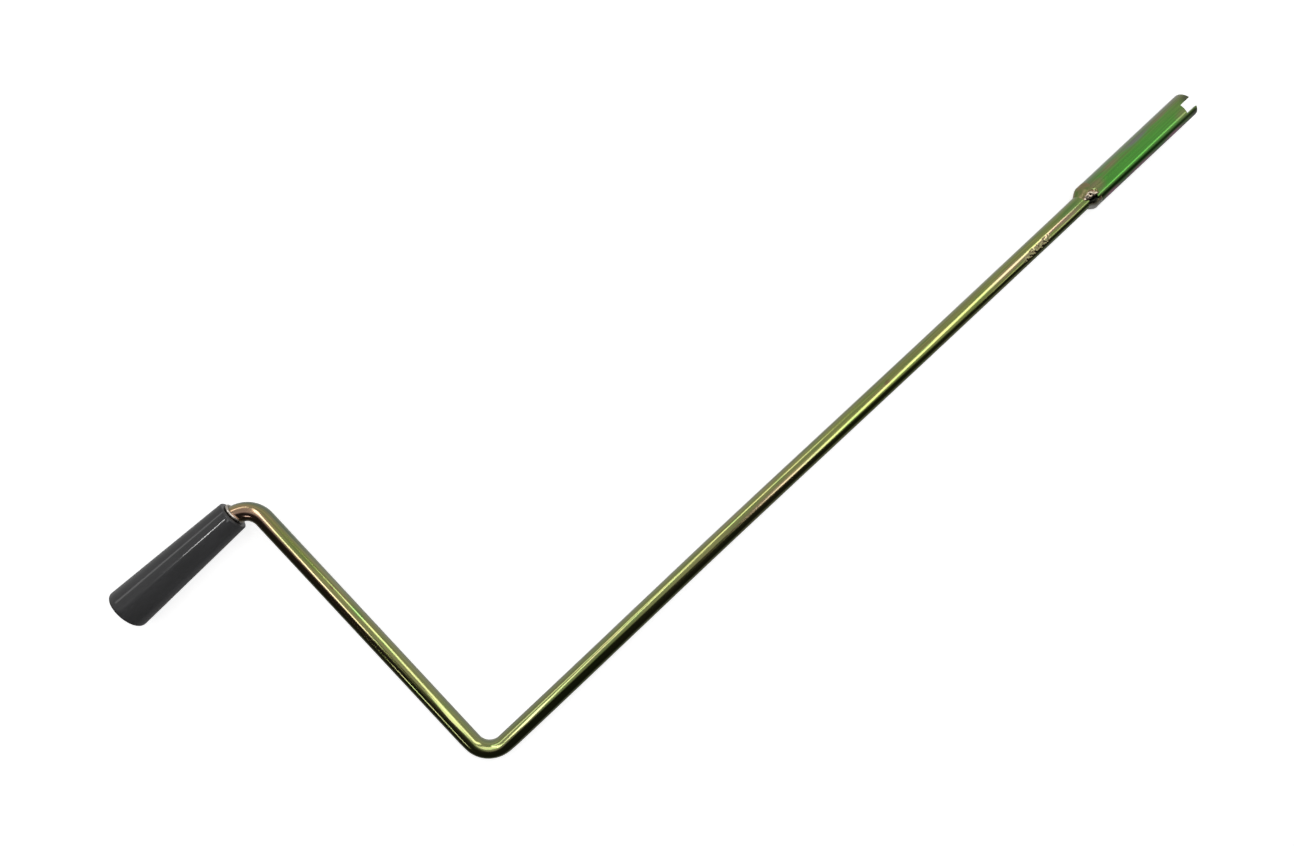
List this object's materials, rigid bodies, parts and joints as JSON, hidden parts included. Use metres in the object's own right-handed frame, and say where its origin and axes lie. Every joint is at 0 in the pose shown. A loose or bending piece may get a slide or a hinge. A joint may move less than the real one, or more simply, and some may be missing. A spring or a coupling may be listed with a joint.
{
  "type": "hand crank",
  "caption": "Hand crank for a window or shutter gear: bar bent twice, welded slotted drive socket at one end, freely turning tapered plastic grip at the other.",
  "frame": {"origin": "centre of the bar's end face inside the drive socket, where the driven spindle bottoms out, on the drive axis", "axes": "+X along the drive axis out of the socket's mouth, +Y along the crank arm from the drive axis to the grip, +Z square to the plane of the crank"},
  "size_m": [0.7293, 0.2418, 0.0274],
  "materials": {
    "chromated_bar": "satin",
    "chromated_socket": "satin",
    "weld_bead": "rough",
    "bright_zinc": "satin",
    "spring_steel": "satin",
    "black_plastic": "satin"
  },
  "bodies": {
    "crank": {"crank_bar": "chromated_bar", "drive_socket": "chromated_socket", "socket_weld": "weld_bead", "stop_ring": "bright_zinc", "thrust_washer": "spring_steel", "retaining_clip": "spring_steel"},
    "grip": {"grip_sleeve": "black_plastic", "grip_end_cap": "black_plastic"}
  },
  "joints": [
    {"name": "grip_spin", "type": "hinge", "parent": "crank", "child": "grip", "pos_m": [-0.635, 0.219, 0], "axis": [1, 0, 0], "continuous": true}
  ]
}
